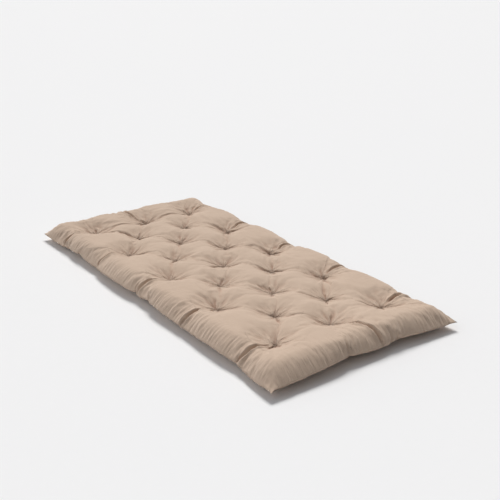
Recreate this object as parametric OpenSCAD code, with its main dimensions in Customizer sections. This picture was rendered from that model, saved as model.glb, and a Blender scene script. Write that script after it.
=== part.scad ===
// Tufted futon mattress: a sewn two-panel case around three layers of filling,
// drawn together by a grid of tuft twines. It folds in half across its middle.
// +Z is up, +Y runs to the head end, and the origin is under the centre of the mattress.

/* [Overall size] */
// Width across the corner tips
width = 900; // [700:10:1600]
// Length across the corner tips
length = 1900; // [1500:10:2400]
// Height of the crowns between the tufts
thickness = 100; // [92:1:140]
// Height of the edge seam, where the two panels meet
seam_height = 34; // [28:1:42]

/* [Edge shape] */
// Distance from the seam to where the top reaches its full height
top_edge_run = 110; // [70:1:130]
// Distance from the seam to where the underside lies flat
bottom_edge_run = 55; // [45:1:90]
// Flat steps that follow the curve of each edge
edge_steps = 8; // [4:1:12]

/* [Tufts] */
// Rows of tufts along the length, an odd number
tuft_rows = 9; // [5:2:11]
// Tufts in the wide rows; the rows between hold one fewer
wide_row_tufts = 3; // [2:1:4]
// Distance from a long edge to the nearest tufts
side_margin = 180; // [150:5:250]
// Distance from a short edge to the nearest row
end_margin = 230; // [150:5:350]
// Depth of a tuft below the crowns on the top
top_tuft_depth = 50; // [20:1:52]
// Radius of the hollow around a tuft on the top
top_tuft_radius = 68; // [40:1:85]
// Depth of a tuft above the floor on the underside
bottom_tuft_depth = 8; // [7:0.5:12]
// Radius of the hollow around a tuft on the underside
bottom_tuft_radius = 32; // [20:1:60]
// Radius of the flat bed at the bottom of each hollow
tuft_bed_radius = 9; // [8:0.5:12]

/* [Twine] */
// Diameter of the tufting twine
twine_d = 2; // [1.5:0.1:2.6]
// Distance between the two strands of one tuft
strand_gap = 10; // [8:0.5:12]
// Diameter of the bar, where the twine is drawn into the cloth
bar_d = 2.6; // [2.2:0.1:3.4]
// Diameter of the barrel knot in the lower bar
knot_d = 4; // [3:0.1:5]
// Length of the barrel knot
knot_length = 5; // [3:0.1:5.5]

/* [Case and filling] */
// Thickness of the case cloth
cloth = 1.5; // [1:0.1:2.5]
// Width of the seam allowance inside the case
seam_allowance = 12; // [8:1:20]
// Thickness of the cotton batting over the core
top_batting = 16; // [8:1:22]
// Thickness of the cotton batting under the core
bottom_batting = 9; // [5:1:12]
// Thickness of the cotton batting around the edge of the core
edge_batting = 26; // [15:1:40]
// Diameter of the seam thread
thread = 1; // [0.6:0.1:1.4]
// Distance from the edge to the seam thread
thread_inset = 3; // [2:0.5:5]
// Width of the filling opening, which is sewn by hand in the head end
closing_width = 420; // [200:10:600]

/* [Clearances] */
// Gap between the two halves across the fold
fold_gap = 0.3; // [0.2:0.05:0.6]
// Gap between one layer and the next
layer_gap = 0.3; // [0.1:0.05:0.5]
// Gap around the twine and the thread
thread_gap = 0.2; // [0.1:0.05:0.3]

/* [Hidden] */
$fn = 32;
half_w = width / 2;
half_l = length / 2;
// Spare length that carries a cutting shape past what it cuts
past = 5;
FOOT = -1;
HEAD = 1;
TOP = 1;
UNDERSIDE = -1;

// Pitch of the tufts across and along, which the margins leave
pitch_x = (width - 2 * side_margin) / (wide_row_tufts - 1);
pitch_y = (length - 2 * end_margin) / (tuft_rows - 1);
function in_row(r) = wide_row_tufts - r % 2;
// Tuft places, row by row from the foot end
TUFTS = [for (r = [0 : tuft_rows - 1]) for (c = [0 : in_row(r) - 1])
    [(c - (in_row(r) - 1) / 2) * pitch_x, (r - (tuft_rows - 1) / 2) * pitch_y]];
function twine_name(i) = str("tuft_twine_", i < 9 ? "0" : "", i + 1);

// Radius of the needle hole that one strand passes through
needle_r = twine_d / 2 + thread_gap;
// The bar on each face bridges the two strands
bar_length = strand_gap + bar_d;
// Heights of the twine's bars: one lies on the case in the top hollow, one hangs by its knot in the lower
top_bar_z = thickness - top_tuft_depth + bar_d / 2 + thread_gap;
bottom_bar_z = bottom_tuft_depth - knot_d / 2 - thread_gap;

// How far each skin lies inside the outer skin of the case: at the edge, the top and the underside
CASE_OUTSIDE = [0, 0, 0];
CASE_INSIDE = [2 * cloth, cloth, cloth];
FILLING = [seam_allowance + layer_gap, cloth + layer_gap, cloth + layer_gap];
CORE = FILLING + [edge_batting, top_batting, bottom_batting];
CORE_SPACE = CORE - layer_gap * [1, 1, 1];
// The core's hollows stop above the seam, where the two battings meet
core_above_seam = 2;
core_tuft_depth = min(top_tuft_depth, thickness - CORE.y - seam_height - core_above_seam);

// One curved edge of a section, from the seam inwards, up or down to a face
function edge_curve(reach, run, face_z) = [for (i = [0 : edge_steps])
    [reach - run * i / edge_steps, seam_height + (face_z - seam_height) * sin(90 * i / edge_steps)]];
function mirrored(points) = [for (i = [len(points) - 1 : -1 : 0]) [-points[i].x, points[i].y]];

// Section of a pad that reaches this far each way from its middle
function pad_section(reach, inset) =
    let (top = edge_curve(reach, top_edge_run, thickness - inset.y),
        bottom = edge_curve(reach, bottom_edge_run, inset.z))
    concat(top, mirrored(top), [for (p = bottom) [-p.x, p.y]], [for (i = [edge_steps : -1 : 1]) bottom[i]]);

// The space inside one skin of the pad, with its tuft hollows, this deep on the top, and needle holes
module pad_space(inset, tuft_depth = top_tuft_depth) {
    difference() {
        intersection() {
            rotate([90, 0, 0]) linear_extrude(length + past, center = true)
                polygon(pad_section(half_w - inset.x, inset));
            rotate([90, 0, 90]) linear_extrude(width + past, center = true)
                polygon(pad_section(half_l - inset.x, inset));
        }
        for (t = TUFTS) translate(t) {
            translate([0, 0, thickness - inset.y]) hollow(tuft_depth, top_tuft_radius, inset.y, TOP);
            translate([0, 0, inset.z]) hollow(bottom_tuft_depth, bottom_tuft_radius, inset.z, UNDERSIDE);
            for (s = [-1, 1]) translate([s * strand_gap / 2, 0, 0])
                cylinder(h = 3 * thickness, r = needle_r, center = true);
        }
    }
}

// A tuft's hollow in a face at height 0: it widens by half of the skin's inset, and runs past the face
module hollow(depth, mouth_r, inset, face) {
    spread = (mouth_r - tuft_bed_radius) / depth;
    mirror([0, 0, face == TOP ? 0 : 1]) translate([0, 0, -depth])
        cylinder(h = depth + past, r1 = tuft_bed_radius + inset / 2, r2 = mouth_r + inset / 2 + spread * past);
}

// Everything on one side of the fold
module on_side(side) {
    intersection() {
        children();
        translate([-width, side == HEAD ? fold_gap / 2 : -length, -thickness])
            cube([2 * width, length - fold_gap / 2, 3 * thickness]);
    }
}

// Everything above or below the seam, and this far away from it
module on_face(face, gap) {
    intersection() {
        children();
        translate([-width, -length, face == TOP ? seam_height + gap : seam_height - gap - 2 * thickness])
            cube([2 * width, 2 * length, 2 * thickness]);
    }
}

// A flat ring along the edge: it starts this far in from the seam line, and is this wide and high
module edge_ring(start, wide, high) {
    translate([0, 0, seam_height - high / 2]) linear_extrude(high) difference() {
        square([width - 2 * start, length - 2 * start], center = true);
        square([width - 2 * (start + wide), length - 2 * (start + wide)], center = true);
    }
}

// The stretch of seam at the head end that is closed by hand, shortened by a gap at each end
module closing_stretch(gap) {
    translate([gap - closing_width / 2, half_l - seam_allowance, 0])
        cube([closing_width - 2 * gap, seam_allowance + past, thickness]);
}

// One half of a panel of the case, with its seam allowance turned in
module panel(face, side) {
    on_face(face, 0) on_side(side) difference() {
        pad_space(CASE_OUTSIDE);
        difference() {
            pad_space(CASE_INSIDE);
            edge_ring(0, seam_allowance, 2 * cloth);
        }
        edge_ring(thread_inset - thread_gap, thread + 2 * thread_gap, thread + 2 * thread_gap);
    }
}

// One half of a batting that covers a face of the core and wraps half of its edge
module batting(face, side) {
    on_face(face, layer_gap / 2) on_side(side) difference() {
        pad_space(FILLING);
        pad_space(CORE_SPACE, core_tuft_depth);
    }
}

module cover_top(side) {
    color("wheat") panel(TOP, side);
}

module cover_bottom(side) {
    color("tan") panel(UNDERSIDE, side);
}

module batting_top(side) {
    color("ivory") batting(TOP, side);
}

module foam_core(side) {
    color("khaki") on_side(side) pad_space(CORE, core_tuft_depth);
}

module batting_bottom(side) {
    color("linen") batting(UNDERSIDE, side);
}

module seam_thread(side) {
    color("burlywood") on_side(side) difference() {
        edge_ring(thread_inset, thread, thread);
        closing_stretch(0);
    }
}

module closing_thread() {
    color("peru") intersection() {
        edge_ring(thread_inset, thread, thread);
        closing_stretch(thread_gap);
    }
}

// Two strands through the mattress, a bar across each face and a knot on the lower one
module tuft_twine(i) {
    color("sandybrown") translate(TUFTS[i]) {
        for (s = [-1, 1]) translate([s * strand_gap / 2, 0, bottom_bar_z])
            cylinder(h = top_bar_z - bottom_bar_z, d = twine_d);
        for (z = [bottom_bar_z, top_bar_z]) translate([0, 0, z])
            rotate([0, 90, 0]) cylinder(h = bar_length, d = bar_d, center = true);
        translate([0, 0, bottom_bar_z]) rotate([0, 90, 0]) cylinder(h = knot_length, d = knot_d, center = true);
    }
}

cover_top(FOOT);  // cover_top_foot
cover_top(HEAD);  // cover_top_head
cover_bottom(FOOT);  // cover_bottom_foot
cover_bottom(HEAD);  // cover_bottom_head
batting_top(FOOT);  // batting_top_foot
batting_top(HEAD);  // batting_top_head
foam_core(FOOT);  // foam_core_foot
foam_core(HEAD);  // foam_core_head
batting_bottom(FOOT);  // batting_bottom_foot
batting_bottom(HEAD);  // batting_bottom_head
seam_thread(FOOT);  // seam_thread_foot
seam_thread(HEAD);  // seam_thread_head
closing_thread();
for (i = [0 : len(TUFTS) - 1]) {
    tuft_twine(i);
}
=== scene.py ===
"""A tufted futon mattress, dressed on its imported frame.

The case is cut flat as two panels, sewn at one seam, filled and tufted in a cloth simulation. The
filling, the twines and the threads are then built inside that case. Every length is in metres.
"""
import logging
import math
from dataclasses import dataclass, field
from enum import Enum

import bpy
import numpy as np
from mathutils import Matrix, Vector


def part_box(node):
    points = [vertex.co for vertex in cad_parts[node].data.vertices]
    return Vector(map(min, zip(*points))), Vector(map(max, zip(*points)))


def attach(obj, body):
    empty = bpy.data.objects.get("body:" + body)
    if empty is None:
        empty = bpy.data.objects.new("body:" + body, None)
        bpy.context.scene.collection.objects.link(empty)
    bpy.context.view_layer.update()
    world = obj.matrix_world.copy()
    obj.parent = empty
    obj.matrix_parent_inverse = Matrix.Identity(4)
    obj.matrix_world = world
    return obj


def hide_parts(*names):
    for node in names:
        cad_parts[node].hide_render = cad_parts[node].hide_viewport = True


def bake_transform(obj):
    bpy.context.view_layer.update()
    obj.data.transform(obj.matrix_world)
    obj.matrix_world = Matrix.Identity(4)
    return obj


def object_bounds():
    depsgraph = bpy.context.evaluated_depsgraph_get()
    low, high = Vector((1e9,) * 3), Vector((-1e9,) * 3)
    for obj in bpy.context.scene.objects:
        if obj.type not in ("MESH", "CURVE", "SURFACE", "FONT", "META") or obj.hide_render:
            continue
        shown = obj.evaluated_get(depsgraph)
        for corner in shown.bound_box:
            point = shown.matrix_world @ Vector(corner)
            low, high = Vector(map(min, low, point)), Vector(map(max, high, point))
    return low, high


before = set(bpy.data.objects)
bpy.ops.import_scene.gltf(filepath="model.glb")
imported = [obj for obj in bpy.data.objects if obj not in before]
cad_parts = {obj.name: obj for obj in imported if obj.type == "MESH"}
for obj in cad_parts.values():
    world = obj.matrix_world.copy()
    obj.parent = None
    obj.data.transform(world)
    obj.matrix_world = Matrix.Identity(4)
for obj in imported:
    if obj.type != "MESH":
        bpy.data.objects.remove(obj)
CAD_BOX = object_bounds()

LOG = logging.getLogger("futon")
Colour = tuple[float, float, float]
Point = tuple[float, float]
FOOT_BODY = "foot_half"
HEAD_BODY = "head_half"


class Face(Enum):
    """The two faces of the mattress, with the sign of their outward direction."""

    TOP = 1
    UNDERSIDE = -1


class Layer(Enum):
    """The layers of filling: how far each lies up the case at its lower and upper skin."""

    BATTING_BOTTOM = ("batting_bottom", 0.035, 0.150)
    FOAM_CORE = ("foam_core", 0.160, 0.780)
    BATTING_TOP = ("batting_top", 0.790, 0.960)


PANEL_NODES = {
    Face.TOP: ("cover_top_foot", "cover_top_head"),
    Face.UNDERSIDE: ("cover_bottom_foot", "cover_bottom_head"),
}

# ---------------------------------------------------------------- sizes from the frame


@dataclass(frozen=True)
class TwineSize:
    """The twine's own sizes, which the frame's boxes hold only in sum."""

    diameter: float = 0.0020
    bar_d: float = 0.0026
    bar_to_bed: float = 0.0028
    knot_to_bed: float = 0.0042


@dataclass(frozen=True)
class MattressSize:
    """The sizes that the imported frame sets."""

    half_width: float
    half_length: float
    thickness: float
    seam_height: float
    tufts: tuple[tuple[float, float], ...]
    top_bed: float
    bottom_bed: float
    twine_d: float
    strand_gap: float

    @classmethod
    def read(cls) -> "MattressSize":
        """Reads every size from the frame's own nodes.

        Returns:
            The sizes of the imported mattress.
        """
        low, high = CAD_BOX
        panel_low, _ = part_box("cover_top_foot")
        names = sorted(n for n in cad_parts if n.startswith("tuft_twine_"))
        boxes = [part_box(name) for name in names]
        tufts = tuple(((a[0] + b[0]) / 2, (a[1] + b[1]) / 2) for a, b in boxes)
        first_low, first_high = boxes[0]
        twine = TwineSize()
        bar_length = first_high[0] - first_low[0]
        return cls(
            half_width=float(high[0] - low[0]) / 2,
            half_length=float(high[1] - low[1]) / 2,
            thickness=float(high[2]),
            seam_height=float(panel_low[2]),
            tufts=tufts,
            top_bed=float(first_high[2]) - twine.bar_to_bed,
            bottom_bed=float(first_low[2]) + twine.knot_to_bed,
            twine_d=twine.diameter,
            strand_gap=float(bar_length) - twine.bar_d,
        )

    @property
    def halves(self) -> tuple[float, float]:
        """Half of the width and of the length."""
        return self.half_width, self.half_length

    @property
    def drawn_edges(self) -> list[tuple[float, float]]:
        """Where the seam is drawn in: beside the outer tufts of the wide rows, and once at each end."""
        reach_x, _ = self.tuft_reach
        sides = [(math.copysign(self.half_width, x), y) for x, y in self.tufts if abs(x) > reach_x - 1e-3]
        return sides + [(0.07, -self.half_length), (-0.05, self.half_length)]

    @property
    def tuft_reach(self) -> tuple[float, float]:
        """Distance of the outermost tufts from the middle, across and along."""
        return max(t[0] for t in self.tufts), max(t[1] for t in self.tufts)

    @property
    def pitch(self) -> tuple[float, float]:
        """Half of the pitch across a row, and the pitch between rows."""
        xs = sorted({round(t[0], 4) for t in self.tufts})
        ys = sorted({round(t[1], 4) for t in self.tufts})
        return xs[1] - xs[0], ys[1] - ys[0]


# ---------------------------------------------------------------- cutting and cloth


@dataclass(frozen=True)
class CuttingPattern:
    """How much larger than the finished mattress a panel is cut."""

    tuft_gain: float = 1.09
    side_gain: float = 0.004
    end_gain: float = 0.004

    def flat(self, x: float, y: float) -> tuple[float, float]:
        """Place on the flat cloth of a point between the tufts of the finished mattress."""
        return x * self.tuft_gain, y * self.tuft_gain

    def reach(self, size: MattressSize) -> tuple[float, float]:
        """Half of the width and the length that each panel is cut to."""
        tuft_x, tuft_y = size.tuft_reach
        half_x = tuft_x * self.tuft_gain + size.half_width - tuft_x + self.side_gain
        half_y = tuft_y * self.tuft_gain + size.half_length - tuft_y + self.end_gain
        return half_x, half_y


@dataclass(frozen=True)
class ClothGrid:
    """A grid over the flat cloth, with a crossing at every tuft."""

    size: MattressSize
    pattern: CuttingPattern
    side_cells: int
    half_pitch_cells: int
    end_cells: int
    row_cells: int

    @property
    def across(self) -> np.ndarray:
        """Grid lines across the width."""
        return self._lines(0, self.side_cells, self.half_pitch_cells)

    @property
    def along(self) -> np.ndarray:
        """Grid lines along the length."""
        return self._lines(1, self.end_cells, self.row_cells)

    def _lines(self, axis: int, margin_cells: int, step_cells: int) -> np.ndarray:
        """Grid lines of one direction: a margin, the tuft pitches, and a margin."""
        half = self.pattern.reach(self.size)[axis]
        inner = self.size.tuft_reach[axis] * self.pattern.tuft_gain
        steps = int(round(2 * self.size.tuft_reach[axis] / self.size.pitch[axis]))
        middle = np.linspace(-inner, inner, steps * step_cells + 1)
        low = np.linspace(-half, -inner, margin_cells + 1)[:-1]
        return np.concatenate([low, middle, -low[::-1]])

    def places(self) -> tuple[np.ndarray, np.ndarray]:
        """Every crossing's place on the flat cloth."""
        return tuple(np.meshgrid(self.across, self.along, indexing="ij"))

    def spread(self, panel: np.ndarray, finer: "ClothGrid") -> np.ndarray:
        """Carries a panel over to a finer grid along smooth splines.

        Args:
            panel: The panel's points on this grid.
            finer: The grid to carry it to.

        Returns:
            The panel's points on the finer grid.
        """
        across = spline_weights(self.across, finer.across)
        along = spline_weights(self.along, finer.along)
        return np.einsum("ai,ijk,bj->abk", across, panel, along, optimize=True)


def spline_weights(lines: np.ndarray, places: np.ndarray) -> np.ndarray:
    """Weights of a uniform cubic spline that meets its first and last line exactly.

    Args:
        lines: Places of the known points.
        places: Places to work out.

    Returns:
        One row of weights for each place.
    """
    count = len(lines)
    at = np.interp(places, lines, np.arange(count))
    low = np.clip(np.floor(at).astype(int), 0, count - 2)
    t = at - low
    basis = (
        (1 - t) ** 3 / 6,
        (3 * t**3 - 6 * t**2 + 4) / 6,
        (-3 * t**3 + 3 * t**2 + 3 * t + 1) / 6,
        t**3 / 6,
    )
    weights = np.zeros((len(places), count + 2))
    rows = np.arange(len(places))
    for step, share in enumerate(basis):
        np.add.at(weights, (rows, low + step), share)
    weights[:, 1] += 2 * weights[:, 0]
    weights[:, 2] -= weights[:, 0]
    weights[:, -2] += 2 * weights[:, -1]
    weights[:, -3] -= weights[:, -1]
    return weights[:, 1:-1]


@dataclass(frozen=True)
class RestShape:
    """The filled case before it is tufted: a flat pad that tapers to the seam."""

    crown: float = 0.110
    top_run: float = 0.080
    bottom_run: float = 0.090
    floor_gap: float = 0.006

    def points(self, grid: ClothGrid, face: Face) -> np.ndarray:
        """Places of one panel's grid in the untufted case.

        Args:
            grid: The grid on the flat cloth.
            face: Which panel.

        Returns:
            An array of points, across by along by 3.
        """
        x, y = grid.places()
        seam = grid.size.seam_height
        run = self.top_run if face is Face.TOP else self.bottom_run
        target = self.crown if face is Face.TOP else self.floor_gap
        rise_x = np.sin(np.clip((x.max() - np.abs(x)) / run, 0, 1) * math.pi / 2)
        rise_y = np.sin(np.clip((y.max() - np.abs(y)) / run, 0, 1) * math.pi / 2)
        return np.stack([x, y, seam + (target - seam) * rise_x * rise_y], axis=-1)


class SewnCase:
    """Two grids of cloth that share the points of their seam."""

    def __init__(self, top: np.ndarray, underside: np.ndarray) -> None:
        """Args:
        top: Grid points of the top panel.
        underside: Grid points of the underside panel, whose edge is the top panel's edge.
        """
        self.shape = top.shape[:2]
        edge = np.zeros(self.shape, bool)
        edge[[0, -1]] = True
        edge[:, [0, -1]] = True
        self.edge = edge
        self.top_index = np.arange(edge.size).reshape(self.shape)
        self.under_index = self.top_index.copy()
        self.under_index[~edge] = edge.size + np.arange((~edge).sum())
        self.points = np.concatenate([top.reshape(-1, 3), underside[~edge]])

    def faces(self) -> np.ndarray:
        """Quads of both panels, facing outwards."""
        return np.concatenate([grid_quads(self.top_index), grid_quads(self.under_index)[:, ::-1]])

    def panels(self, points: np.ndarray) -> tuple[np.ndarray, np.ndarray]:
        """Splits the points of the sewn case back into the two panels' grids."""
        return points[self.top_index], points[self.under_index]


def grid_quads(index: np.ndarray) -> np.ndarray:
    """Quads over a grid of point numbers, facing up where the grid runs along X and Y."""
    return np.stack([index[:-1, :-1], index[1:, :-1], index[1:, 1:], index[:-1, 1:]], axis=-1).reshape(-1, 4)


@dataclass(frozen=True)
class TuftPull:
    """How the filling gives way in a ring around a tuft, which widens the hollow in the cloth."""

    depth: float = 0.012
    reach: float = 0.045

    def depth_at(self, distance: np.ndarray) -> np.ndarray:
        """Depth that is added at these distances from a tuft: none at the tuft, the most at the reach."""
        share = distance / self.reach
        return self.depth * share * np.exp((1 - share**2) / 2)


@dataclass(frozen=True)
class ClothSettings:
    """One run of the cloth simulation."""

    frames: int = 30
    pull_frames: int = 15
    tension: float = 30.0
    shear: float = 10.0
    vertex_mass: float = 0.05
    bending: float = 0.7
    pressure: float = 2.0
    spring: float = 0.05


class TuftingBench:
    """Fills the sewn case and pulls its tufts down, over a firm floor."""

    def __init__(self, grid: ClothGrid, rest: RestShape, seam_dip: float, seed: int = 3) -> None:
        """Args:
        grid: The grid that the cloth is simulated on.
        rest: The filled case before tufting.
        seam_dip: How far the outer tufts draw the seam inwards.
        seed: Seed of the small unevenness of handwork.
        """
        self.grid = grid
        self.size = grid.size
        self.seam_dip = seam_dip
        self.case = SewnCase(rest.points(grid, Face.TOP), rest.points(grid, Face.UNDERSIDE))
        rng = np.random.default_rng(seed)
        self.wander = rng.normal(0, 0.0022, (len(self.size.tufts), 3))
        self.noise = rng.normal(0, 0.0006, self.case.points.shape)

    def held_points(self) -> dict[int, tuple[float, float, float]]:
        """The points that the twines and the corners hold, and where they end up."""
        across, along = self.grid.across, self.grid.along
        held = {}
        for (x, y), (dx, dy, dz) in zip(self.size.tufts, self.wander):
            flat_x, flat_y = self.grid.pattern.flat(x, y)
            i, j = int(np.argmin(np.abs(across - flat_x))), int(np.argmin(np.abs(along - flat_y)))
            held[int(self.case.top_index[i, j])] = (x + dx, y + dy, self.size.top_bed + dz)
            held[int(self.case.under_index[i, j])] = (x + dx, y + dy, self.size.bottom_bed)
        half_x, half_y = self.size.halves
        seam = self.size.seam_height
        for x, y in self.size.drawn_edges:
            flat_x, flat_y = self.grid.pattern.flat(x, y)
            i, j = int(np.argmin(np.abs(across - flat_x))), int(np.argmin(np.abs(along - flat_y)))
            drawn_x = x if abs(x) < half_x else math.copysign(half_x - self.seam_dip, x)
            drawn_y = y if abs(y) < half_y else math.copysign(half_y - self.seam_dip, y)
            held[int(self.case.top_index[i, j])] = (drawn_x, drawn_y, seam)
        for i in (0, -1):
            for j in (0, -1):
                lines = (across[i], along[j])
                corner = [math.copysign(half, line) for half, line in zip(self.size.halves, lines)]
                held[int(self.case.top_index[i, j])] = (*corner, seam - 0.004)
        return held

    def run(self) -> tuple[np.ndarray, np.ndarray]:
        """Fills and tufts the case.

        Returns:
            The points of the top and the underside panel on the grid.
        """
        start = self.case.points + self.noise
        settled = self._simulate(start, self.held_points(), ClothSettings())
        return self.case.panels(settled)

    def _simulate(
        self, start: np.ndarray, held: dict[int, tuple[float, float, float]], settings: ClothSettings
    ) -> np.ndarray:
        """Runs the cloth simulation and removes what it needed.

        Args:
            start: Where the points start.
            held: The points that are pulled to a place.
            settings: The cloth and the run.

        Returns:
            The points at the last frame.
        """
        scene = bpy.context.scene
        mesh = bpy.data.meshes.new("cloth_run")
        mesh.from_pydata(start.tolist(), [], self.case.faces().tolist())
        cloth = bpy.data.objects.new("cloth_run", mesh)
        scene.collection.objects.link(cloth)
        cloth.vertex_groups.new(name="held").add(list(held), 1.0, "REPLACE")
        goal = start.copy()
        goal[list(held)] = list(held.values())
        cloth.shape_key_add(name="start")
        pulled = cloth.shape_key_add(name="pulled")
        pulled.data.foreach_set("co", goal.ravel())
        unstretched = cloth.shape_key_add(name="unstretched")
        unstretched.data.foreach_set("co", self.case.points.ravel())
        for value, at in ((0.0, 1), (1.0, settings.pull_frames)):
            pulled.value = value
            pulled.keyframe_insert("value", frame=at)
        floor = self._bench_top()
        modifier = cloth.modifiers.new("Cloth", "CLOTH")
        self._set_cloth(modifier, unstretched, settings)
        for number in range(1, settings.frames + 1):
            scene.frame_set(number)
        evaluated = cloth.evaluated_get(bpy.context.evaluated_depsgraph_get())
        points = np.empty(start.size)
        evaluated.data.vertices.foreach_get("co", points)
        scene.frame_set(1)
        for thing in (cloth, floor):
            data = thing.data
            bpy.data.objects.remove(thing)
            bpy.data.meshes.remove(data)
        LOG.info("cloth run of %d points over %d frames", len(start), settings.frames)
        return points.reshape(-1, 3)

    def _bench_top(self) -> bpy.types.Object:
        """The firm floor that the case lies on during the simulation."""
        x, y = 2 * self.size.half_width, 2 * self.size.half_length
        mesh = bpy.data.meshes.new("bench_top")
        mesh.from_pydata([(-x, -y, 0), (x, -y, 0), (x, y, 0), (-x, y, 0)], [], [(0, 1, 2, 3)])
        bench = bpy.data.objects.new("bench_top", mesh)
        bpy.context.scene.collection.objects.link(bench)
        bench.modifiers.new("Collision", "COLLISION")
        bench.collision.thickness_outer = 0.002
        bench.collision.cloth_friction = 5
        return bench

    def _set_cloth(
        self, modifier: bpy.types.ClothModifier, unstretched: bpy.types.ShapeKey, settings: ClothSettings
    ) -> None:
        """Sets the cloth's stiffness, the filling inside it and its contact with the floor."""
        cloth = modifier.settings
        cloth.quality = 5
        cloth.mass = settings.vertex_mass
        cloth.tension_stiffness = cloth.compression_stiffness = settings.tension
        cloth.shear_stiffness = settings.shear
        cloth.bending_stiffness = settings.bending
        cloth.tension_damping = cloth.compression_damping = cloth.shear_damping = 5.0
        cloth.air_damping = 1.0
        cloth.vertex_group_mass = "held"
        cloth.rest_shape_key = unstretched
        cloth.use_pressure = True
        cloth.uniform_pressure_force = settings.pressure
        cloth.bending_damping = 0.5
        cloth.use_internal_springs = True
        cloth.internal_spring_normal_check = False
        cloth.internal_spring_max_length = 0.2
        cloth.internal_spring_max_diversion = math.radians(10)
        cloth.internal_tension_stiffness = cloth.internal_tension_stiffness_max = 0.1
        cloth.internal_compression_stiffness = cloth.internal_compression_stiffness_max = settings.spring
        cloth.effector_weights.gravity = 0.0
        modifier.collision_settings.use_self_collision = False
        modifier.collision_settings.distance_min = 0.002
        modifier.point_cache.frame_start = 1
        modifier.point_cache.frame_end = settings.frames


# ---------------------------------------------------------------- shader expressions


class Channel:
    """A shader socket that can be used in Python arithmetic."""

    def __init__(self, tree: bpy.types.NodeTree, socket: bpy.types.NodeSocket) -> None:
        """Args:
        tree: The tree that the socket is in.
        socket: An output socket that holds one number.
        """
        self.tree = tree
        self.socket = socket

    def _math(self, operation: str, *values: "Channel | float", clamp: bool = False) -> "Channel":
        """Adds one Math node over these values."""
        node = self.tree.nodes.new("ShaderNodeMath")
        node.operation = operation
        node.use_clamp = clamp
        for socket, value in zip(node.inputs, values):
            if isinstance(value, Channel):
                self.tree.links.new(value.socket, socket)
            else:
                socket.default_value = value
        return Channel(self.tree, node.outputs[0])

    def __add__(self, other: "Channel | float") -> "Channel":
        """The sum of two values."""
        return self._math("ADD", self, other)

    __radd__ = __add__

    def __sub__(self, other: "Channel | float") -> "Channel":
        """The difference of two values."""
        return self._math("SUBTRACT", self, other)

    def __rsub__(self, other: float) -> "Channel":
        """A number less this value."""
        return self._math("SUBTRACT", other, self)

    def __mul__(self, other: "Channel | float") -> "Channel":
        """The product of two values."""
        return self._math("MULTIPLY", self, other)

    __rmul__ = __mul__

    def __pow__(self, other: float) -> "Channel":
        """This value to a power."""
        return self._math("POWER", self, other)

    def clamped(self) -> "Channel":
        """This value held between 0 and 1."""
        return self._math("ADD", self, 0.0, clamp=True)


class Finish:
    """Base of the finishes: builds a material around one Principled BSDF."""

    def __init__(self, name: str) -> None:
        """Starts an empty material of this name."""
        self.material = bpy.data.materials.new(name)
        self.material.use_nodes = True
        self.tree = self.material.node_tree
        self.tree.nodes.clear()
        self.output = self.tree.nodes.new("ShaderNodeOutputMaterial")
        self.shader = self.tree.nodes.new("ShaderNodeBsdfPrincipled")
        self.tree.links.new(self.shader.outputs[0], self.output.inputs["Surface"])

    def node(self, kind: str, settings: dict | None = None, **sockets: object) -> bpy.types.Node:
        """Adds a node.

        Args:
            kind: The node's type.
            settings: Properties that are set first.
            **sockets: Values or links of its inputs, by name with _ for a space.

        Returns:
            The new node.
        """
        node = self.tree.nodes.new(kind)
        for key, value in (settings or {}).items():
            setattr(node, key, value)
        for key, value in sockets.items():
            self.feed(node.inputs[key.replace("_", " ")], value)
        return node

    def feed(self, socket: bpy.types.NodeSocket, value: object) -> None:
        """Links a socket or sets its value."""
        if isinstance(value, Channel):
            value = value.socket
        if isinstance(value, bpy.types.NodeSocket):
            self.tree.links.new(value, socket)
        else:
            socket.default_value = value

    def channel(self, socket: bpy.types.NodeSocket) -> Channel:
        """Wraps an output for arithmetic."""
        return Channel(self.tree, socket)

    def attribute(self, name: str, output: str) -> bpy.types.NodeSocket:
        """Reads one of the piece's own attributes."""
        return self.node("ShaderNodeAttribute", {"attribute_name": name}).outputs[output]

    def noise(
        self, scale: float, detail: float = 2.0, roughness: float = 0.5, vector: object = None
    ) -> Channel:
        """Noise over the piece's own object coordinates, about 0.5 on average."""
        place = vector if vector is not None else self.node("ShaderNodeTexCoord").outputs["Object"]
        made = self.node("ShaderNodeTexNoise", Vector=place, Scale=scale, Detail=detail, Roughness=roughness)
        return self.channel(made.outputs["Fac"])

    def blend_colours(self, amount: object, low: Colour, high: object) -> bpy.types.NodeSocket:
        """Mixes two colours by a factor."""
        mix = self.node("ShaderNodeMix", {"data_type": "RGBA"})
        self.feed(mix.inputs[0], amount)
        self.feed(mix.inputs[6], low if isinstance(low, bpy.types.NodeSocket) else (*low, 1.0))
        self.feed(mix.inputs[7], high if isinstance(high, bpy.types.NodeSocket) else (*high, 1.0))
        return mix.outputs[2]

    def bump(self, height: Channel, distance: float, strength: float) -> None:
        """Raises the surface by a height, in metres at full height."""
        made = self.node("ShaderNodeBump", Height=height, Distance=distance, Strength=strength)
        self.feed(self.shader.inputs["Normal"], made.outputs["Normal"])


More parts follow.
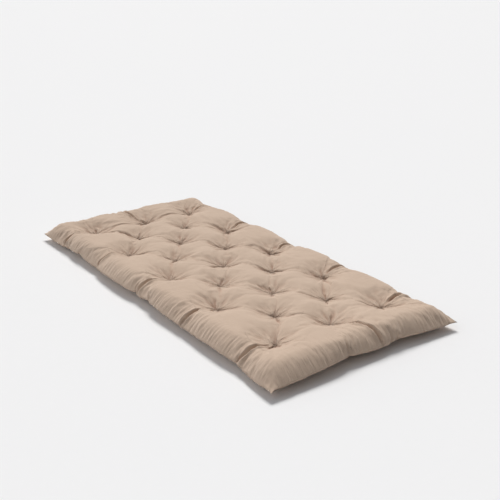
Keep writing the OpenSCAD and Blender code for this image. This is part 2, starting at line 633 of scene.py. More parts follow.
@dataclass(frozen=True)
class BrushedCotton:
    """The case cloth: a soft brushed weave with a low nap, darkened with painted shade in its creases and
    hollows.
    """

    ground: Colour = (0.560, 0.422, 0.325)
    worn: Colour = (0.630, 0.486, 0.380)
    # Painted shade: the colour that creases and hollows are darkened towards.
    shaded: Colour = (0.450, 0.298, 0.222)
    weave_scale: float = 45.0
    nap_scale: float = 420.0
    nap_height: float = 0.0003
    wrinkle_scale: float = 6.5
    wrinkle_height: float = 0.010
    crumple_height: float = 0.0022
    sheen: float = 0.22

    def material(self) -> bpy.types.Material:
        """Builds the cloth.

        Returns:
            The material.
        """
        finish = Finish("brushed_cotton")
        cut = finish.attribute("cut_place", "Vector")
        crease = finish.channel(finish.attribute("crease", "Fac"))
        patches = finish.noise(9.0, 3.0, 0.55)
        nap = finish.noise(self.nap_scale, 3.0, 0.6, cut)
        brushed = finish.noise(60.0, 4.0, 0.6, cut)
        weave = self._weave(finish, cut)
        tone = (patches * 0.55 + brushed * 0.35 + nap * 0.10 - 0.2) * 1.4
        base = finish.blend_colours(tone.clamped(), self.ground, self.worn)
        # Painted shade: the cloth turns towards its shaded colour where the crease mask marks creases and
        # hollows.
        base = finish.blend_colours(crease.clamped(), base, self.shaded)
        finish.feed(finish.shader.inputs["Base Color"], base)
        finish.feed(finish.shader.inputs["Roughness"], 0.82 + nap * 0.12 + brushed * 0.06)
        finish.shader.inputs["Sheen Weight"].default_value = self.sheen
        finish.shader.inputs["Sheen Roughness"].default_value = 0.45
        finish.shader.inputs["Sheen Tint"].default_value = (1.0, 0.93, 0.86, 1.0)
        finish.shader.inputs["Specular IOR Level"].default_value = 0.25
        run = finish.attribute("wrinkle_run", "Vector")
        strength = finish.channel(finish.attribute("wrinkle", "Fac"))
        wrinkles = finish.noise(self.wrinkle_scale, 3.0, 0.55, run)
        crumples = finish.noise(22.0, 3.0, 0.6, cut)
        folds = wrinkles * strength * self.wrinkle_height + crumples * self.crumple_height
        tooth = (weave * 0.3 + nap * 0.45 + brushed * 0.5) * self.nap_height
        finish.bump(folds + tooth, 1.0, 1.0)
        return finish.material

    def _weave(self, finish: Finish, cut: bpy.types.NodeSocket) -> Channel:
        """Crossed threads along the two directions of the cut cloth."""
        waves = []
        for direction in ("X", "Y"):
            settings = {"wave_type": "BANDS", "bands_direction": direction, "wave_profile": "SIN"}
            made = finish.node(
                "ShaderNodeTexWave", settings, Vector=cut, Scale=self.weave_scale, Distortion=0.4, Detail=1.0
            )
            waves.append(finish.channel(made.outputs["Fac"]))
        return waves[0] * waves[1]


@dataclass(frozen=True)
class Fibre:
    """A plain fibrous finish, for the filling and the threads."""

    name: str
    low: Colour
    high: Colour
    scale: float
    stretch: Colour = (1.0, 1.0, 1.0)
    bump_height: float = 0.001
    sheen: float = 0.2

    def material(self) -> bpy.types.Material:
        """Builds the fibres.

        Returns:
            The material.
        """
        finish = Finish(self.name)
        place = finish.node("ShaderNodeTexCoord").outputs["Object"]
        pulled = finish.node("ShaderNodeMapping", Vector=place, Scale=self.stretch).outputs["Vector"]
        fibres = finish.noise(self.scale, 5.0, 0.65, pulled)
        clumps = finish.noise(self.scale / 12, 2.0, 0.5)
        tone = ((fibres * 0.7 + clumps * 0.5 - 0.3) * 1.6).clamped()
        finish.feed(finish.shader.inputs["Base Color"], finish.blend_colours(tone, self.low, self.high))
        finish.feed(finish.shader.inputs["Roughness"], 0.85 + fibres * 0.1)
        finish.shader.inputs["Sheen Weight"].default_value = self.sheen
        finish.bump(fibres, self.bump_height, 0.7)
        return finish.material


COTTON_BATTING = Fibre("cotton_batting", (0.60, 0.56, 0.48), (0.80, 0.77, 0.69), 160.0, (1.0, 0.3, 2.0))
SPUN_THREAD = Fibre("spun_thread", (0.38, 0.29, 0.21), (0.50, 0.40, 0.30), 2500.0, bump_height=0.0002)
TWISTED_TWINE = Fibre(
    "twisted_twine", (0.40, 0.31, 0.22), (0.55, 0.45, 0.34), 1800.0, (1.0, 1.0, 0.4), bump_height=0.0003
)


@dataclass(frozen=True)
class FoamCells:
    """Open-cell foam: small round cells in a matte skin."""

    low: Colour = (0.60, 0.50, 0.27)
    high: Colour = (0.78, 0.69, 0.43)
    cells_per_metre: float = 700.0

    def material(self) -> bpy.types.Material:
        """Builds the foam.

        Returns:
            The material.
        """
        finish = Finish("open_cell_foam")
        place = finish.node("ShaderNodeTexCoord").outputs["Object"]
        settings = {"feature": "F1"}
        made = finish.node("ShaderNodeTexVoronoi", settings, Vector=place, Scale=self.cells_per_metre)
        cells = finish.channel(made.outputs["Distance"])
        yellowing = finish.noise(6.0, 2.0)
        tone = (cells * 0.9 + yellowing * 0.4 - 0.2).clamped()
        finish.feed(finish.shader.inputs["Base Color"], finish.blend_colours(tone, self.low, self.high))
        finish.feed(finish.shader.inputs["Roughness"], 0.88 + cells * 0.1)
        finish.bump(cells, 0.0008, 0.8)
        return finish.material


# ---------------------------------------------------------------- the case


@dataclass(frozen=True)
class Gathers:
    """Small folds that stand across the seam, where the cloth is eased in."""

    pitch: float = 0.020
    height: float = 0.0062
    reach: float = 0.060
    seam_width: float = 0.007
    side_share: float = 0.55
    seed: int = 11

    def height_at(self, inward: np.ndarray, run: np.ndarray, turn: int) -> np.ndarray:
        """Height of the folds above the smooth cloth.

        Args:
            inward: Distance from the seam.
            run: Distance along the seam.
            turn: Which side of the mattress, so that no two sides are alike.

        Returns:
            The height at each point.
        """
        rng = np.random.default_rng(self.seed + turn)
        drift = smooth_noise(run, 0.11, rng)
        strength = 0.25 + 0.75 * smooth_noise(run, 0.07, rng)
        reach = self.reach * (0.45 + 1.1 * smooth_noise(run, 0.045, rng))
        slant = 0.5 * (smooth_noise(run, 0.16, rng) - 0.5) * inward / self.pitch
        ridge = np.abs(np.sin(math.pi * (run / self.pitch + slant) + 5.0 * drift)) - 0.62
        fade = np.exp(-((inward / reach) ** 1.4)) * (1 - np.exp(-inward / self.seam_width))
        return self.height * ridge * fade * strength * self.share(turn)

    def share(self, turn: int) -> float:
        """How strong the folds are on a side: the first two are the long sides, which are eased in less."""
        return self.side_share if turn < 2 else 1.0


@dataclass(frozen=True)
class Pleats:
    """Sharp folds that run down into each tuft."""

    fewest: int = 8
    most: int = 12
    depth: float = 0.0125
    reach: float = 0.115
    width: float = 0.0034
    seed: int = 23

    def height_at(self, x: np.ndarray, y: np.ndarray) -> np.ndarray:
        """Height of the folds around one tuft.

        Args:
            x: Distance from the tuft across the width.
            y: Distance from the tuft along the length.

        Returns:
            The height at each point, mostly below zero.
        """
        height = np.zeros_like(x)
        radius = np.hypot(x, y) + 1e-6
        angle = np.arctan2(y, x)
        rng = np.random.default_rng(self.seed + int(1000 * abs(x.min())) + int(7000 * abs(y.min())))
        count = int(rng.integers(self.fewest, self.most + 1))
        phase = rng.uniform(0, 2 * math.pi)
        for number in range(count):
            heading = phase + 2 * math.pi * (number + rng.uniform(-0.3, 0.3)) / count
            reach = self.reach * rng.uniform(0.45, 1.1)
            bend = rng.uniform(-4.0, 4.0)
            aside = np.angle(np.exp(1j * (angle - heading - bend * radius)))
            width = self.width + 0.08 * radius
            across = radius * np.sin(np.clip(aside, -math.pi / 2, math.pi / 2)) / width
            fade = np.clip(1 - (radius / reach) ** 2, 0, 1) ** 2 * np.clip(radius / 0.014, 0, 1)
            groove = 0.45 * np.exp(-((across / 2.0) ** 2)) - np.exp(-(np.abs(across) ** 1.3))
            height += self.depth * rng.uniform(0.45, 1.0) * groove * fade * (np.abs(aside) < math.pi / 2)
        return height


@dataclass(frozen=True)
class EdgeCreases:
    """The deep folds from the outer tufts to the places where the seam is drawn in."""

    depth: float = 0.014
    width: float = 0.0055
    bow: float = 0.010

    def height_at(self, x: np.ndarray, y: np.ndarray, tuft: Point, edge: Point) -> np.ndarray:
        """Height of the cloth along one crease.

        Args:
            x: Places on the flat cloth across the width.
            y: Places on the flat cloth along the length.
            tuft: Where the crease starts.
            edge: Where it meets the seam.

        Returns:
            The height at each point.
        """
        step_x, step_y = edge[0] - tuft[0], edge[1] - tuft[1]
        length = math.hypot(step_x, step_y)
        share = ((x - tuft[0]) * step_x + (y - tuft[1]) * step_y) / length**2
        aside = ((y - tuft[1]) * step_x - (x - tuft[0]) * step_y) / length
        aside = aside - self.bow * np.sin(math.pi * np.clip(share, 0, 1))
        across = aside / (self.width * (0.7 + 0.5 * np.clip(share, 0, 1)))
        groove = 0.5 * np.exp(-((np.abs(across) - 2.2) ** 2)) - np.exp(-(np.abs(across) ** 1.2))
        fade = np.clip((share - 0.15) / 0.35, 0, 1) * np.clip((1.0 - share) / 0.08, 0, 1)
        return self.depth * groove * fade


@dataclass
class Case:
    """The sewn, filled and tufted case."""

    size: MattressSize
    pattern: CuttingPattern = CuttingPattern()
    rest: RestShape = RestShape()
    pull: TuftPull = TuftPull()
    gathers: Gathers = Gathers()
    pleats: Pleats = Pleats()
    creases: EdgeCreases = EdgeCreases()
    ceiling_softness: float = 0.006
    seam_dip: float = 0.016
    hem: float = 0.012
    mitre_width: float = 0.030
    top: np.ndarray = field(default=None, repr=False)
    underside: np.ndarray = field(default=None, repr=False)

    def __post_init__(self) -> None:
        """Lays the grids that the cloth is simulated and finished on."""
        self.bench_grid = ClothGrid(self.size, self.pattern, 15, 12, 20, 16)
        self.cloth_grid = ClothGrid(self.size, self.pattern, 40, 32, 52, 44)

    def build(self, cloth: bpy.types.Material) -> list[bpy.types.Object]:
        """Simulates the case and makes its two panels.

        Args:
            cloth: The finish of both panels.

        Returns:
            The top and the underside panel.
        """
        self.take(*TuftingBench(self.bench_grid, self.rest, self.seam_dip).run())
        return [self._panel(self.finished(face), face, cloth) for face in Face]

    def take(self, top: np.ndarray, underside: np.ndarray) -> None:
        """Keeps the simulated panels, with their crowns level and the underside on the floor."""
        self.top = self._settle(top)
        self.underside = np.maximum(underside, (-9, -9, 0.0005))

    def _settle(self, grid: np.ndarray) -> np.ndarray:
        """Draws the hollows in and brings the crowns to the height at which the two halves fold together."""
        grid = grid.copy()
        seam, ceiling, soft = self.size.seam_height, self.size.thickness - 0.001, self.ceiling_softness
        reach_x, reach_y = self.size.tuft_reach
        inside = (np.abs(grid[..., 0]) < reach_x) & (np.abs(grid[..., 1]) < reach_y)
        crown = np.percentile(grid[inside][:, 2], 90)
        above = np.clip(grid[..., 2] - seam, 0, None)
        gain = (ceiling - soft - seam) / (crown - seam)
        share = np.clip(above / (crown - seam), 0, 1) ** 2
        grid[..., 2] += above * (gain - 1) * share
        for x, y in self.size.tufts:
            grid[..., 2] -= self.pull.depth_at(np.hypot(grid[..., 0] - x, grid[..., 1] - y))
        over = np.clip(grid[..., 2] - (ceiling - soft), 0, None)
        grid[..., 2] = np.minimum(grid[..., 2], ceiling - soft) + soft * np.tanh(over / soft)
        return grid

    def finished(self, face: Face) -> np.ndarray:
        """One panel on the finished grid, with its gathers and pleats, along the cloth's own normal."""
        panel = self.top if face is Face.TOP else self.underside
        grid = self.bench_grid.spread(panel, self.cloth_grid)
        x, y = self.cloth_grid.places()
        height = self._fold_height(x, y) * (1.0 if face is Face.TOP else 0.35)
        normal = np.cross(np.gradient(grid, axis=0), np.gradient(grid, axis=1))
        normal *= face.value / (np.linalg.norm(normal, axis=-1, keepdims=True) + 1e-12)
        grid = grid + normal * height[..., None]
        grid[..., 2] = np.clip(grid[..., 2], 0.0004, self.size.thickness - 0.0002)
        return grid

    def tuft_beds(self) -> list[tuple[np.ndarray, float]]:
        """Where the finished cloth lies at each tuft.

        Returns:
            The place on the top panel, and the height of the underside below it, for each tuft.
        """
        top, underside = self.finished(Face.TOP), self.finished(Face.UNDERSIDE)
        beds = []
        for tuft in self.size.tufts:
            flat_x, flat_y = self.pattern.flat(*tuft)
            i = int(np.argmin(np.abs(self.cloth_grid.across - flat_x)))
            j = int(np.argmin(np.abs(self.cloth_grid.along - flat_y)))
            beds.append((top[i - 1 : i + 2, j].mean(axis=0), float(underside[i - 1 : i + 2, j, 2].mean())))
        return beds

    def _fold_height(self, x: np.ndarray, y: np.ndarray) -> np.ndarray:
        """Height of all the small folds of the top panel at places on the flat cloth."""
        height = np.zeros_like(x)
        half_x, half_y = x.max(), y.max()
        for turn, (inward, run) in enumerate(from_each_side(x, y)):
            height += self.gathers.height_at(inward, run, turn)
        for tuft in self.size.tufts:
            flat_x, flat_y = self.pattern.flat(*tuft)
            height += self.pleats.height_at(x - flat_x, y - flat_y)
        for edge in self.size.drawn_edges:
            tuft = min(self.size.tufts, key=lambda t: math.dist(t, edge))
            flat = self.pattern.flat(*edge)
            reach = tuple(math.copysign(min(abs(e), h), e) for e, h in zip(flat, (half_x, half_y)))
            height += self.creases.height_at(x, y, self.pattern.flat(*tuft), reach)
        return height

    def _panel(self, grid: np.ndarray, face: Face, cloth: bpy.types.Material) -> bpy.types.Object:
        name = "case_top_panel" if face is Face.TOP else "case_underside_panel"
        ends = PANEL_NODES[face]
        index = np.arange(grid.shape[0] * grid.shape[1]).reshape(grid.shape[:2])
        rim = ring_of(index)
        turned_in = self._hem_line(ring_of(grid), face)
        inner = index.size + np.arange(len(rim))
        after, inner_after = np.roll(rim, -1), np.roll(inner, -1)
        hem = np.stack([rim, inner, inner_after, after], axis=-1)
        faces = np.concatenate([grid_quads(index), hem])
        if face is Face.UNDERSIDE:
            faces = faces[:, ::-1]
        piece = mesh_object(name, np.concatenate([grid.reshape(-1, 3), turned_in]), faces, cloth)
        self._cloth_attributes(piece.data, grid, face)
        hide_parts(*ends)
        across_fold(piece, self.size)
        flat = tuple(2 * half for half in self.pattern.reach(self.size))
        return piece

    def _hem_line(self, edge: np.ndarray, face: Face) -> np.ndarray:
        """The raw edge of the seam allowance, inside the case at the height of the seam."""
        return moved_inward(edge, self.hem) + (0.0, 0.0, 0.0006 * face.value)

    def _cloth_attributes(self, mesh: bpy.types.Mesh, grid: np.ndarray, face: Face) -> None:
        """Stores where each point lay on the flat cloth, and how deep it lies in a crease or hollow, which
        sets the painted shade.
        """
        x, y = self.cloth_grid.places()
        cut = np.stack([x, y, np.full_like(x, 0.1 * face.value)], axis=-1).reshape(-1, 3)
        rim = cut[ring_of(np.arange(len(cut)).reshape(x.shape))]
        store(mesh, "cut_place", np.concatenate([cut, rim * 1.01]))
        height = grid[..., 2]
        fold = (box_blur(height, 6) - height) * face.value
        hollow = (box_blur(height, 40) - height) * face.value
        from_seam = np.minimum(x.max() - np.abs(x), y.max() - np.abs(y))
        # Painted shade: how far the cloth darkens in creases and hollows, faded out near the seam.
        crease = np.clip(fold / 0.006 + hollow / 0.012, -1.0, 1.0) * np.clip(from_seam / 0.06 - 0.3, 0, 1)
        store(mesh, "crease", np.concatenate([crease.ravel(), np.zeros(len(rim))]))
        run, strength = self._wrinkle_runs(x, y)
        store(mesh, "wrinkle_run", np.concatenate([run.reshape(-1, 3), rim]))
        store(mesh, "wrinkle", np.concatenate([strength.ravel(), np.zeros(len(rim))]))

    def _wrinkle_runs(self, x: np.ndarray, y: np.ndarray) -> tuple[np.ndarray, np.ndarray]:
        """Directions of the finest wrinkles: out from each tuft, and square to the seam.

        Args:
            x: Places on the flat cloth across the width.
            y: Places on the flat cloth along the length.

        Returns:
            A place in the noise, stretched along the wrinkles, and how strong they are.
        """
        half_x, half_y = x.max(), y.max()
        run = np.zeros((*x.shape, 3))
        strength = np.zeros_like(x)
        share = np.ones_like(x)
        for turn, (inward, place) in enumerate(from_each_side(x, y)):
            here = np.exp(-((inward / 0.075) ** 1.5))
            nearer = here > strength
            share[nearer] = self.gathers.share(turn)
            run[nearer] = np.stack([place * 15.0, inward * 2.5, np.full_like(x, 7.0 * turn)], axis=-1)[nearer]
            strength = np.maximum(strength, here)
        mitre = np.abs((half_x - np.abs(x)) - (half_y - np.abs(y)))
        strength *= share * np.clip(mitre / self.mitre_width, 0, 1)
        for number, tuft in enumerate(self.size.tufts):
            flat_x, flat_y = self.pattern.flat(*tuft)
            dx, dy = x - flat_x, y - flat_y
            radius = np.hypot(dx, dy) + 1e-6
            here = np.exp(-((radius / 0.085) ** 2)) * np.clip(radius / 0.01, 0, 1)
            nearer = here > strength
            spread = np.stack([dx / radius, dy / radius, radius * 4.0 + 3.0 * number], axis=-1)
            run[nearer] = spread[nearer]
            strength = np.maximum(strength, here)
        return run, strength


def from_each_side(x: np.ndarray, y: np.ndarray) -> list[tuple[np.ndarray, np.ndarray]]:
    """Distance from each side of the flat cloth and place along it, the two long sides first."""
    half_x, half_y = x.max(), y.max()
    return [(half_x - x, y), (half_x + x, y), (half_y - y, x), (half_y + y, x)]


def store(mesh: bpy.types.Mesh, name: str, values: np.ndarray) -> None:
    """Stores a number or a vector at each point of a mesh."""
    kind, key = ("FLOAT_VECTOR", "vector") if values.ndim > 1 else ("FLOAT", "value")
    mesh.attributes.new(name, kind, "POINT").data.foreach_set(key, values.astype(np.float32).ravel())


def moved_inward(edge: np.ndarray, distance: float) -> np.ndarray:
    """A closed counter-clockwise line, moved square to itself towards its inside."""
    along = np.roll(edge, -1, axis=0) - np.roll(edge, 1, axis=0)
    inward = np.stack([-along[:, 1], along[:, 0], np.zeros(len(edge))], axis=-1)
    return edge + distance * inward / (np.linalg.norm(inward, axis=1, keepdims=True) + 1e-12)


def ring_of(grid: np.ndarray) -> np.ndarray:
    """The outer ring of a grid, in counter-clockwise order seen from above."""
    return np.concatenate([grid[:-1, 0], grid[-1, :-1], grid[:0:-1, -1], grid[0, :0:-1]])


def lowest_near(values: np.ndarray, reach: int) -> np.ndarray:
    """The lowest value of a grid within this many cells of each point."""
    for axis in (0, 1):
        padded = np.pad(values, [(reach, reach) if side == axis else (0, 0) for side in (0, 1)], mode="edge")
        count = values.shape[axis]
        steps = range(2 * reach + 1)
        values = np.min([np.take(padded, range(step, step + count), axis) for step in steps], axis=0)
    return values


def box_blur(values: np.ndarray, times: int) -> np.ndarray:
    """Averages a grid over the nearest points, this many times."""
    for _ in range(times):
        padded = np.pad(values, 1, mode="edge")
        rows = (padded[:-2] + padded[1:-1] + padded[2:]) / 3
        values = (rows[:, :-2] + rows[:, 1:-1] + rows[:, 2:]) / 3
    return values


def smooth_noise(place: np.ndarray, pitch: float, rng: np.random.Generator) -> np.ndarray:
    """Seeded one-dimensional noise from 0 to 1, with a knot at each pitch."""
    knots = rng.uniform(0, 1, 512)
    at = place / pitch + 256
    low = np.floor(at).astype(int)
    t = at - low
    t = t * t * (3 - 2 * t)
    return knots[low % 512] * (1 - t) + knots[(low + 1) % 512] * t


def mesh_object(
    name: str, points: np.ndarray, faces: np.ndarray | list[list[int]], material: bpy.types.Material
) -> bpy.types.Object:
    """Makes a smooth mesh piece at the origin.

    Args:
        name: The piece's name.
        points: Its points in the row frame.
        faces: Its faces.
        material: Its finish.

    Returns:
        The new object.
    """
    mesh = bpy.data.meshes.new(name)
    mesh.from_pydata(points.tolist(), [], faces.tolist() if isinstance(faces, np.ndarray) else faces)
    mesh.shade_smooth()
    mesh.materials.append(material)
    piece = bpy.data.objects.new(name, mesh)
    bpy.context.scene.collection.objects.link(piece)
    return piece


def across_fold(piece: bpy.types.Object, size: MattressSize) -> None:
    """Works out a reach from the row pitch and bakes a continuous piece's placement into its points."""
    reach = size.pitch[1] * 0.88
    -reach
    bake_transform(piece)


# ---------------------------------------------------------------- the filling


@dataclass
class Filling:
    """Two battings around a foam core, shaped by the case that holds them."""

    case: Case
    coarseness: int = 4
    edge_cells: int = 2
    core_edge_cells: int = 4
    ease: float = 0.0012

    def build(self, finishes: dict[Layer, bpy.types.Material]) -> list[bpy.types.Object]:
        """Makes the three layers.

        Args:
            finishes: The material of each layer.

        Returns:
            The three pieces.
        """
        return [self._layer(layer, finishes[layer]) for layer in Layer]

    def _layer(self, layer: Layer, material: bpy.types.Material) -> bpy.types.Object:
        """Makes one closed layer between two heights of the case."""
        name, low_share, high_share = layer.value
        edge = self.core_edge_cells if layer is Layer.FOAM_CORE else self.edge_cells
        top, underside = (grid[edge:-edge, edge:-edge] for grid in self._loose_skins())
        rise = top - underside
        lower, upper = underside + rise * low_share, underside + rise * high_share
        index = np.arange(lower.shape[0] * lower.shape[1]).reshape(lower.shape[:2])
        count = index.size
        rim = ring_of(index)
        after = np.roll(rim, -1)
        wall = np.stack([rim, after, after + count, rim + count], axis=-1)
        faces = np.concatenate([grid_quads(index)[:, ::-1], grid_quads(index) + count, wall])
        points = np.concatenate([lower.reshape(-1, 3), upper.reshape(-1, 3)])
        piece = mesh_object(name, points, faces, material)
        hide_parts(f"{name}_foot", f"{name}_head")
        across_fold(piece, self.case.size)
        return piece

    def _loose_skins(self) -> tuple[np.ndarray, np.ndarray]:
        """The case's two skins on a coarser grid, drawn in so that the filling stays inside every fold."""
        top, underside = self.case.finished(Face.TOP), self.case.finished(Face.UNDERSIDE)
        step, reach = self.coarseness, self.coarseness + 1
        top[..., 2] = lowest_near(top[..., 2], reach) - self.ease
        underside[..., 2] = -lowest_near(-underside[..., 2], reach) + self.ease
        middle = (top[..., 2] + underside[..., 2]) / 2
        top[..., 2] = np.maximum(top[..., 2], middle + self.ease)
        underside[..., 2] = np.minimum(underside[..., 2], middle - self.ease)
        return top[::step, ::step], underside[::step, ::step]


# ---------------------------------------------------------------- threads and twines


class StitchLine:
    """A Geometry Nodes tree that lays one short stitch after another along a path."""

    def __init__(self, name: str, material: bpy.types.Material) -> None:
        """Args:
        name: The tree's name.
        material: The thread's finish.
        """
        self.tree = bpy.data.node_groups.new(name, "GeometryNodeTree")
        self.material = material
        self.tree.interface.new_socket("Geometry", in_out="INPUT", socket_type="NodeSocketGeometry")
        for label in ("Pitch", "Stitch Length", "Thread Radius", "Turn"):
            self.tree.interface.new_socket(label, in_out="INPUT", socket_type="NodeSocketFloat")
        self._build()

    def _add(self, kind: str, settings: dict | None = None, **values: object) -> bpy.types.Node:
        """Adds a node, sets its settings first, and feeds its sockets by name."""
        node = self.tree.nodes.new(kind)
        for key, value in (settings or {}).items():
            setattr(node, key, value)
        for key, value in values.items():
            socket = node.inputs[key.replace("_", " ")]
            if isinstance(value, bpy.types.NodeSocket):
                self.tree.links.new(value, socket)
            else:
                socket.default_value = value
        return node

    def _build(self) -> None:
        """Lays the nodes out: path, points, one stitch at each point, real geometry."""
        self.tree.interface.new_socket("Geometry", in_out="OUTPUT", socket_type="NodeSocketGeometry")
        given = self.tree.nodes.new("NodeGroupInput")
        result = self.tree.nodes.new("NodeGroupOutput")
        line = self._add("GeometryNodeMeshToCurve", Mesh=given.outputs["Geometry"])
        curve = self._add("GeometryNodeSetCurveNormal", {"mode": "Z_UP"}, Curve=line.outputs["Curve"])
        settings = {"mode": "LENGTH"}
        points = self._add(
            "GeometryNodeCurveToPoints", settings, Curve=curve.outputs["Curve"], Length=given.outputs["Pitch"]
        )
        stitch = self._add(
            "GeometryNodeMeshCylinder",
            Vertices=6,
            Radius=given.outputs["Thread Radius"],
            Depth=given.outputs["Stitch Length"],
        )
        turn = self._add("ShaderNodeCombineXYZ", Y=given.outputs["Turn"])
        euler = self._add("FunctionNodeEulerToRotation", Euler=turn.outputs["Vector"])
        rotation = self._add(
            "FunctionNodeRotateRotation",
            {"rotation_space": "LOCAL"},
            Rotation=points.outputs["Rotation"],
            Rotate_By=euler.outputs["Rotation"],
        )
        placed = self._add(
            "GeometryNodeInstanceOnPoints",
            Points=points.outputs["Points"],
            Instance=stitch.outputs["Mesh"],
            Rotation=rotation.outputs["Rotation"],
        )
        real = self._add("GeometryNodeRealizeInstances", Geometry=placed.outputs["Instances"])
        geometry = real.outputs["Geometry"]
        dressed = self._add("GeometryNodeSetMaterial", Geometry=geometry, Material=self.material)
        self.tree.links.new(dressed.outputs["Geometry"], result.inputs["Geometry"])

    def lay(self, name: str, path: np.ndarray, closed: bool, **sizes: float) -> bpy.types.Object:
        """Makes the stitches along a path as a plain mesh.

        Args:
            name: The piece's name.
            path: The points that the seam follows.
            closed: True if the path runs back to its start.
            **sizes: The tree's named inputs, with _ for a space.

        Returns:
            The finished piece.
        """
        edges = [(i, i + 1) for i in range(len(path) - 1)]
        if closed:
            edges.append((len(path) - 1, 0))
        mesh = bpy.data.meshes.new(name + "_path")
        mesh.from_pydata(path.tolist(), edges, [])
        guide = bpy.data.objects.new(name + "_path", mesh)
        bpy.context.scene.collection.objects.link(guide)
        modifier = guide.modifiers.new("stitches", "NODES")
        modifier.node_group = self.tree
        items = self.tree.interface.items_tree
        labels = {item.name: item.identifier for item in items if item.in_out == "INPUT"}
        for key, value in sizes.items():
            modifier[labels[key.replace("_", " ")]] = value
        evaluated = guide.evaluated_get(bpy.context.evaluated_depsgraph_get())
        made = bpy.data.meshes.new_from_object(evaluated)
        made.name = name
        guide.modifiers.clear()
        bpy.data.objects.remove(guide)
        piece = bpy.data.objects.new(name, made)
        made.shade_smooth()
        bpy.context.scene.collection.objects.link(piece)
        return piece


@dataclass
class SeamThreads:
    """The machine seam, and the hand-sewn closing of the filling opening."""

    case: Case
    stitch_pitch: float = 0.004
    thread_d: float = 0.0008
    inset: float = 0.0035
    end_slack: float = 0.06

    def build(self, material: bpy.types.Material) -> list[bpy.types.Object]:
        """Makes both threads.

        Args:
            material: The thread's finish.

        Returns:
            The seam thread and the closing thread.
        """
        edge = self._seam_path()
        closing_low, closing_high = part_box("closing_thread")
        at_end = (edge[:, 1] > 0) & (edge[:, 1] > closing_low[1] - self.end_slack)
        opening = at_end & (np.abs(edge[:, 0]) < closing_high[0])
        first = int(np.argmax(opening & ~np.roll(opening, 1)))
        order = np.roll(np.arange(len(edge)), -first)
        count = int(opening.sum())
        line = StitchLine("stitch_line", material)
        radius = self.thread_d / 2
        sizes = {"Pitch": self.stitch_pitch, "Stitch_Length": 0.0034, "Thread_Radius": radius, "Turn": 0.25}
        seam = line.lay("seam_thread", edge[order[count:]], False, **sizes)
        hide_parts("seam_thread_foot", "seam_thread_head")
        across_fold(seam, self.case.size)
        hand = {"Pitch": 0.007, "Stitch_Length": 0.005, "Thread_Radius": radius * 1.3, "Turn": 0.7}
        closing = line.lay("closing_thread_ladder", edge[order[:count]], False, **hand)
        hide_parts("closing_thread")
        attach(closing, HEAD_BODY)
        return [seam, closing]

    def _seam_path(self) -> np.ndarray:
        """Points just inside the seam, in order round the mattress."""
        edge = ring_of(self.case.bench_grid.spread(self.case.top, self.case.cloth_grid))
        return moved_inward(edge, self.inset)


@dataclass
class TuftTwine:
    """The loop of twine that draws one tuft together."""

    size: MattressSize
    sides: int = 8
    corner: float = 0.0016
    wraps: int = 3

    def build(
        self, number: int, top: np.ndarray, bottom: float, material: bpy.types.Material
    ) -> bpy.types.Object:
        """Makes one twine.

        Args:
            number: The tuft's number, from 1.
            top: The place of the case's cloth at the top of the tuft.
            bottom: Height of the cloth at the underside.
            material: The twine's finish.

        Returns:
            The finished piece.
        """
        radius = self.size.twine_d / 2
        place = (float(top[0]), float(top[1]))
        loop = self._loop(place, float(top[2]) + radius * 0.6, bottom - radius * 0.6)
        points, faces = sweep_ring(loop, radius, self.sides)
        knot_points, knot_faces = self._knot(place, bottom - radius * 0.6, radius)
        faces += [[corner + len(points) for corner in face] for face in knot_faces]
        points = np.concatenate([points, knot_points])
        piece = mesh_object(f"tuft_tie_{number:02d}", points, faces, material)
        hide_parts(f"tuft_twine_{number:02d}")
        if abs(place[1]) < 0.01:
            across_fold(piece, self.size)
        else:
            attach(piece, FOOT_BODY if place[1] < 0 else HEAD_BODY)
        return piece

    def _loop(self, place: tuple[float, float], top: float, bottom: float) -> np.ndarray:
        """The closed path of the twine: across the top, down, across the underside, and up."""
        half = self.size.strand_gap / 2
        corner = self.corner
        path = []
        for cx, cz, start in ((half, top, 90), (half, bottom, 0), (-half, bottom, -90), (-half, top, -180)):
            mid = (cx - math.copysign(corner, cx), cz - math.copysign(corner, cz - (top + bottom) / 2))
            for step in range(4):
                a = math.radians(start - step * 30)
                x = place[0] + mid[0] + corner * math.cos(a)
                path.append((x, place[1], mid[1] + corner * math.sin(a)))
        return np.array(path)

    def _knot(self, place: Point, height: float, radius: float) -> tuple[np.ndarray, list[list[int]]]:
        """Three wraps around the lower bar."""
        turns, per_turn = self.wraps, 10
        t = np.linspace(0, 1, turns * per_turn + 1)
        wrap = radius * 1.9
        angle = 2 * math.pi * turns * t
        path = np.stack(
            [
                place[0] + (t - 0.5) * radius * 5,
                place[1] + wrap * np.cos(angle),
                height + wrap * np.sin(angle),
            ],
            axis=-1,
        )
        return sweep_tube(path, radius * 0.9, self.sides)


def sweep_tube(path: np.ndarray, radius: float, sides: int) -> tuple[np.ndarray, list[list[int]]]:
    """Sweeps a round section along an open path and closes both ends."""
    tangent = np.gradient(path, axis=0)
    rings = ring_points(path, tangent, radius, sides)
    count = len(path)
    points = np.concatenate([rings.reshape(-1, 3), path[[0, -1]]])
    faces = [quad for i in range(count - 1) for quad in ring_faces(i * sides, (i + 1) * sides, sides)]
    start, end = count * sides, count * sides + 1
    last = (count - 1) * sides
    caps = [[start, (k + 1) % sides, k] for k in range(sides)]
    caps += [[end, last + k, last + (k + 1) % sides] for k in range(sides)]
    return points, faces + caps


def sweep_ring(path: np.ndarray, radius: float, sides: int) -> tuple[np.ndarray, list[list[int]]]:
    """Sweeps a round section along a closed path."""
    tangent = np.roll(path, -1, axis=0) - np.roll(path, 1, axis=0)
    rings = ring_points(path, tangent, radius, sides)
    count = len(path)
    faces = [quad for i in range(count) for quad in ring_faces(i * sides, (i + 1) % count * sides, sides)]
    return rings.reshape(-1, 3), faces


